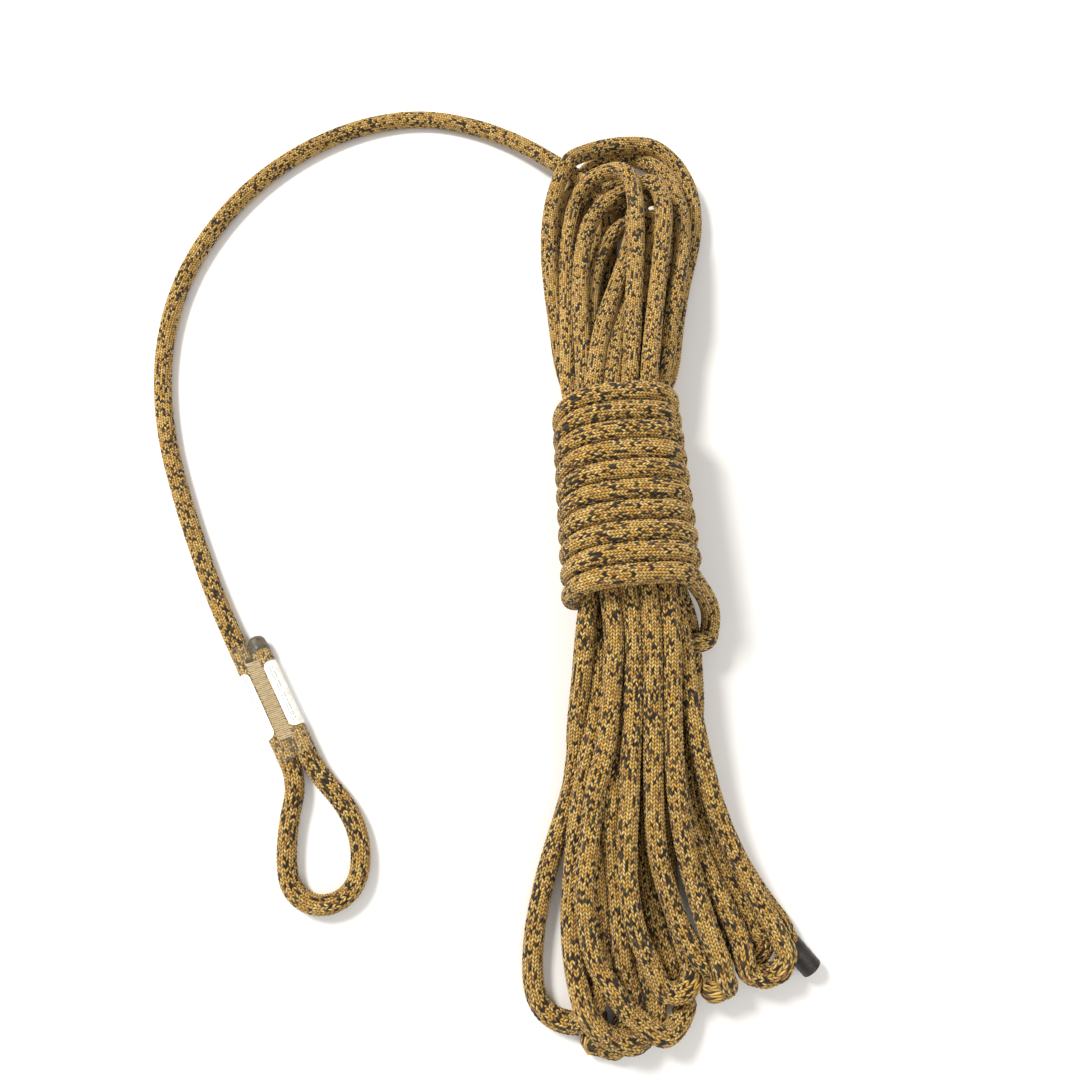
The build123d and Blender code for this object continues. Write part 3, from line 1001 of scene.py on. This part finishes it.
def film_ring(along, outward):
    """One ring of the film: round the two legs, drawn down into the groove between them."""
    ring = []
    sides = 72
    flare = 0.35 * math.exp(-((along - FILM_FROM) / 1.2) ** 2)
    flare += 0.35 * math.exp(-((along - FILM_TO) / 1.2) ** 2)
    radius = outward + 0.06 * math.sin(0.9 * along) - 0.35 + min(flare, 0.35)
    for n in range(sides):
        a = 2 * math.pi * n / sides
        c, s = math.cos(a), math.sin(a)
        across = ROPE_R * max(-1.0, min(1.0, 1.9 * c)) + radius * c * abs(c) ** 0.15
        dip = 0.50 * math.exp(-(across / 2.6) ** 2)
        ring.append(throat_point(across, along, math.copysign(abs(s) ** 0.86, s) * (radius - dip)))
    return ring


def throat_film():
    """The clear film: an outer and an inner skin joined at both open ends."""
    steps = np.linspace(FILM_FROM, FILM_TO, 76)
    rings = [film_ring(along, FILM_OUT) for along in steps]
    rings += [film_ring(along, FILM_OUT - FILM_T) for along in steps[::-1]]
    verts = [v for ring in rings for v in ring]
    obj = mesh_object("throat_clear_film", verts, skin(rings, closed=True))
    return finished(obj, shrink_film(), "clear_film", "throat_film")


# ---- the rope's pieces -----------------------------------------------------------------------
settled, run, parts = settled_hank()
hank = Line(settled)


def inside_waist(line):
    """Which rings are hidden inside the frapping turns."""
    y = line.spots[:, 1]
    off = np.hypot(line.spots[:, 0] - np.array([waist_x(v) for v in y]),
                   line.spots[:, 2] - WAIST_Z)
    slack = np.abs(line.ahead[:, 1]) > 0.8
    return (y > WAIST_END_Y + 12) & (y < WAIST_TOP_Y - 14) & (off < 32) & slack


hidden = inside_waist(hank)
cuts = [hank.ring(p) for p in parts]
names = ["rope_cut_end"]
nodes = [("cut_end_cover", "cut_end_core", "hank_lower")]
for n in range(1, 10):
    names.append("rope_top_bight_%d" % n)
    nodes.append(("hank_upper", "hank_waist"))
    if n < 9:
        names.append("rope_bottom_bight_%d" % n)
        nodes.append(("stray_bight",) if n == 6 else ("hank_lower",))
names.append("rope_side_bight")
nodes.append(("side_bight",))
for n in range(1, 5):
    names.append("rope_frapping_%d" % n)
    nodes.append(("frapping_turns",))
names.append("rope_tuck")
nodes.append(("hank_upper",))
cuts = [0] + cuts + [len(hank.s) - 1]
total_length = 0.0
for name, replaced, first, last in zip(names, nodes, cuts, cuts[1:]):
    turns = name.startswith("rope_frapping")
    swell = 1.0 if name == "rope_cut_end" else HANK_SWELL
    piece = rope_piece(name, hank, first, last, hidden, swell, TURN_SWELL if turns else 1.0)
    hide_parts(*replaced)
    if name == "rope_cut_end":
        worn = (cut_sleeve(), cut_face())
        total_length += declare(hank, first, last, "bare")
    else:
        total_length += declare(hank, first, last, "object")

free_line = Line(nurbs_line(FREE_STRAND), start=hank.s[-1])
piece = rope_piece("rope_free_strand", free_line, 0, len(free_line.s) - 1)
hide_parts("free_strand_cover", "free_strand_core")
total_length += declare(free_line, 0, len(free_line.s) - 1, "object")

leg_start = free_line.s[-1]
for name, across, start in (("standing_leg", -ROPE_R, 0.0), ("tail_leg", ROPE_R, TAIL_START)):
    ends = [throat_point(across, start), throat_point(across, THROAT_LENGTH)]
    leg_line = Line(np.array(ends), start=leg_start)
    piece = rope_piece("rope_" + name, leg_line, 0, len(leg_line.s) - 1)
    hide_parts(name + "_cover", name + "_core")
    leg_start += 280.0
total_length += THROAT_LENGTH * MM

eye_line = Line(nurbs_line(EYE), start=free_line.s[-1] + 76.0)
piece = rope_piece("rope_eye", eye_line, 0, len(eye_line.s) - 1)
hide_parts("eye_cover", "eye_core")
total_length += declare(eye_line, 0, len(eye_line.s) - 1, "object")
print("rope length", round(total_length, 3))

throat_stitches()
throat_film()
tail_seal()
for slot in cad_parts["throat_label"].material_slots:
    slot.material = label_paper()


# ---- floor and light -------------------------------------------------------------------------
def floor_object():
    """A plain pale floor, well beyond the view on every side."""
    size = 3.0
    mesh = bpy.data.meshes.new("floor")
    mesh.from_pydata([(-size, -size, 0), (size, -size, 0), (size, size, 0), (-size, size, 0)], [],
                     [(0, 1, 2, 3)])
    obj = bpy.data.objects.new("floor", mesh)
    bpy.context.scene.collection.objects.link(obj)
    g = Graph("pale_floor")
    g.surface(Base_Color=(0.90, 0.895, 0.885, 1.0), Roughness=0.9, Specular_IOR_Level=0.1)
    mesh.materials.append(g.material)


def area_light(name, place, aim, size, power, colour):
    data = bpy.data.lights.new(name, "AREA")
    data.shape = "DISK"
    data.size = size
    data.energy = power
    data.color = colour
    obj = bpy.data.objects.new(name, data)
    obj.location = place
    obj.rotation_euler = (Vector(aim) - Vector(place)).to_track_quat("-Z", "Y").to_euler()
    bpy.context.scene.collection.objects.link(obj)


floor_object()
area_light("key", (-0.9, 0.7, 1.3), (0.03, 0.0, 0.0), 0.5, 34.0, (1.0, 0.97, 0.92))
area_light("fill", (0.9, -0.9, 1.2), (0.03, 0.0, 0.0), 1.2, 8.0, (1.0, 0.98, 0.96))
world = bpy.data.worlds.new("studio")
world.use_nodes = True
world.node_tree.nodes["Background"].inputs["Color"].default_value = (1.0, 0.99, 0.975, 1.0)
world.node_tree.nodes["Background"].inputs["Strength"].default_value = 0.62
bpy.context.scene.world = world
bpy.context.scene.view_settings.view_transform = "Standard"
